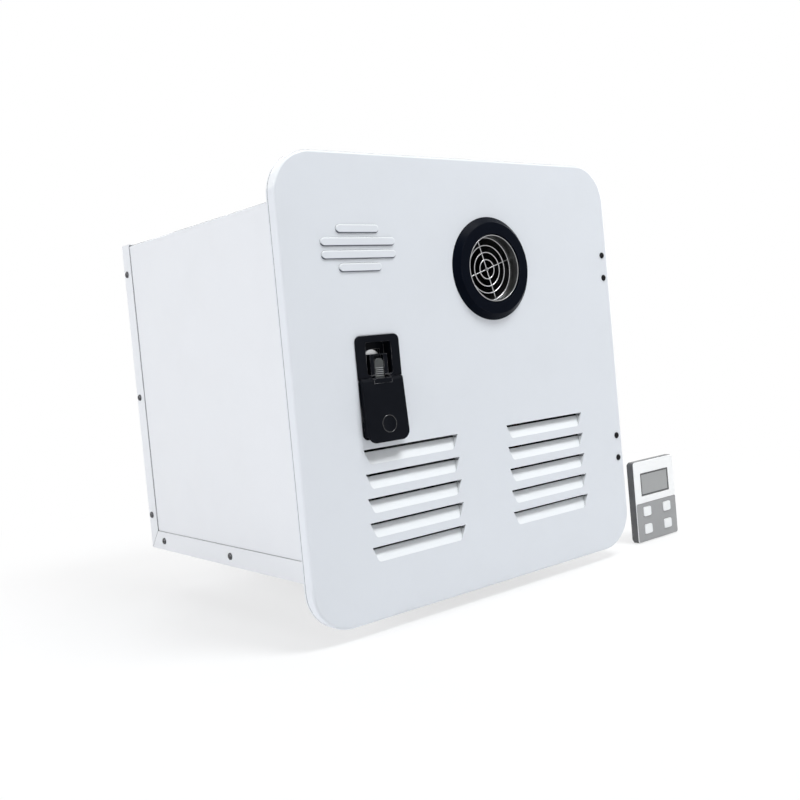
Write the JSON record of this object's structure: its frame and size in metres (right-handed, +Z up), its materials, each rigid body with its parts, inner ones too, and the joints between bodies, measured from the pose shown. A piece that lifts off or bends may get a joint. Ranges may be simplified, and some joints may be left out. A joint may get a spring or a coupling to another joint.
{
  "type": "caravan water heater",
  "caption": "Square louvred door with exhaust ring and latch, hinged over a flanged steel gas water heater case, with wired wall controller.",
  "frame": {"origin": "centre of the mounting flange's back face, which lies on the caravan's outer wall", "axes": "+X to the right of someone facing the door, +Y into the caravan along the case's depth, +Z up"},
  "size_m": [0.4825, 0.394, 0.3915],
  "materials": {
    "white_paint": "smooth bluish white powder coat",
    "plated_steel": "zinc plated, satin",
    "stainless_steel": "bare stainless, satin",
    "black_steel": "black oxide",
    "black_plastic": "fine satin grain",
    "grey_plastic": "satin",
    "white_plastic": "satin gloss",
    "screen": "grey reflective display",
    "board": "green laminate",
    "copper": "bare copper",
    "brass": "bare brass",
    "aluminium": "as cast and drawn",
    "rubber": "black",
    "ceramic": "glazed white"
  },
  "bodies": {
    "case": {"case_shell": "white_paint", "bottom_tray": "white_paint", "rear_cover": "white_paint", "case_screws": "plated_steel", "mounting_flange": "white_paint", "hinge_frame_leaves": "plated_steel", "hinge_pins": "plated_steel", "latch_strike": "plated_steel", "flue_tube": "stainless_steel", "flue_guard": "stainless_steel", "burner_box": "stainless_steel", "burner_bars": "stainless_steel", "exchanger_shell": "copper", "exchanger_core": "copper", "exhaust_hood": "stainless_steel", "stack_legs": "plated_steel", "thermostats": "plated_steel", "fan_housing": "aluminium", "fan_motor": "aluminium", "gas_valve": "aluminium", "gas_valve_bracket": "plated_steel", "gas_inlet": "brass", "gas_pipe": "aluminium", "gas_feed": "aluminium", "gas_manifold": "aluminium", "cold_inlet": "brass", "hot_outlet": "brass", "flow_sensor": "brass", "cold_pipe": "copper", "hot_pipe": "copper", "control_box": "black_plastic", "circuit_board": "board", "control_lid": "white_paint", "switch_frame": "black_plastic", "cable_grommet": "rubber", "electrodes": "ceramic", "electrode_plate": "plated_steel", "spark_unit": "black_plastic", "controller_front": "white_plastic", "controller_back": "white_plastic", "controller_board": "board", "controller_screen": "screen", "controller_keypad": "grey_plastic"},
    "door": {"door_panel": "white_paint", "door_seal": "rubber", "exhaust_ring": "black_plastic", "hinge_door_leaves": "plated_steel", "hinge_screws": "black_steel", "latch_bezel": "black_plastic", "latch_pins": "plated_steel"},
    "flap": {"latch_flap": "black_plastic"},
    "lock": {"latch_tab": "grey_plastic", "latch_bolt": "plated_steel"},
    "fan": {"fan_rotor": "black_plastic", "fan_shaft": "plated_steel"},
    "rocker": {"power_rocker": "black_plastic"},
    "button_up": {"button_up": "white_plastic"},
    "button_down": {"button_down": "white_plastic"},
    "button_power": {"button_power": "white_plastic"},
    "button_mode": {"button_mode": "white_plastic"}
  },
  "joints": [
    {"name": "door_hinge", "type": "hinge", "parent": "case", "child": "door", "pos_m": [0.1882, -0.0046, 0], "axis": [0, 0, 1], "range_deg": [0, 95]},
    {"name": "flap_hinge", "type": "hinge", "parent": "door", "child": "flap", "pos_m": [-0.107, -0.0134, 0.005], "axis": [-1, 0, 0], "range_deg": [0, 85]},
    {"name": "lock_slide", "type": "slide", "parent": "door", "child": "lock", "axis": [0, 0, -1], "range_m": [0, 0.008]},
    {"name": "fan_spin", "type": "hinge", "parent": "case", "child": "fan", "pos_m": [0.029, 0.14, -0.116], "axis": [0, 1, 0], "continuous": true},
    {"name": "rocker_tilt", "type": "hinge", "parent": "case", "child": "rocker", "pos_m": [-0.12608, 0.0588, 0.005], "axis": [-1, 0, 0], "range_deg": [0, 10]},
    {"name": "button_up_press", "type": "slide", "parent": "case", "child": "button_up", "axis": [0, 1, 0], "range_m": [0, 0.0012], "stiffness_N_per_m": 400},
    {"name": "button_power_press", "type": "slide", "parent": "case", "child": "button_power", "axis": [0, 1, 0], "range_m": [0, 0.0012], "stiffness_N_per_m": 400},
    {"name": "button_down_press", "type": "slide", "parent": "case", "child": "button_down", "axis": [0, 1, 0], "range_m": [0, 0.0012], "stiffness_N_per_m": 400},
    {"name": "button_mode_press", "type": "slide", "parent": "case", "child": "button_mode", "axis": [0, 1, 0], "range_m": [0, 0.0012], "stiffness_N_per_m": 400}
  ]
}
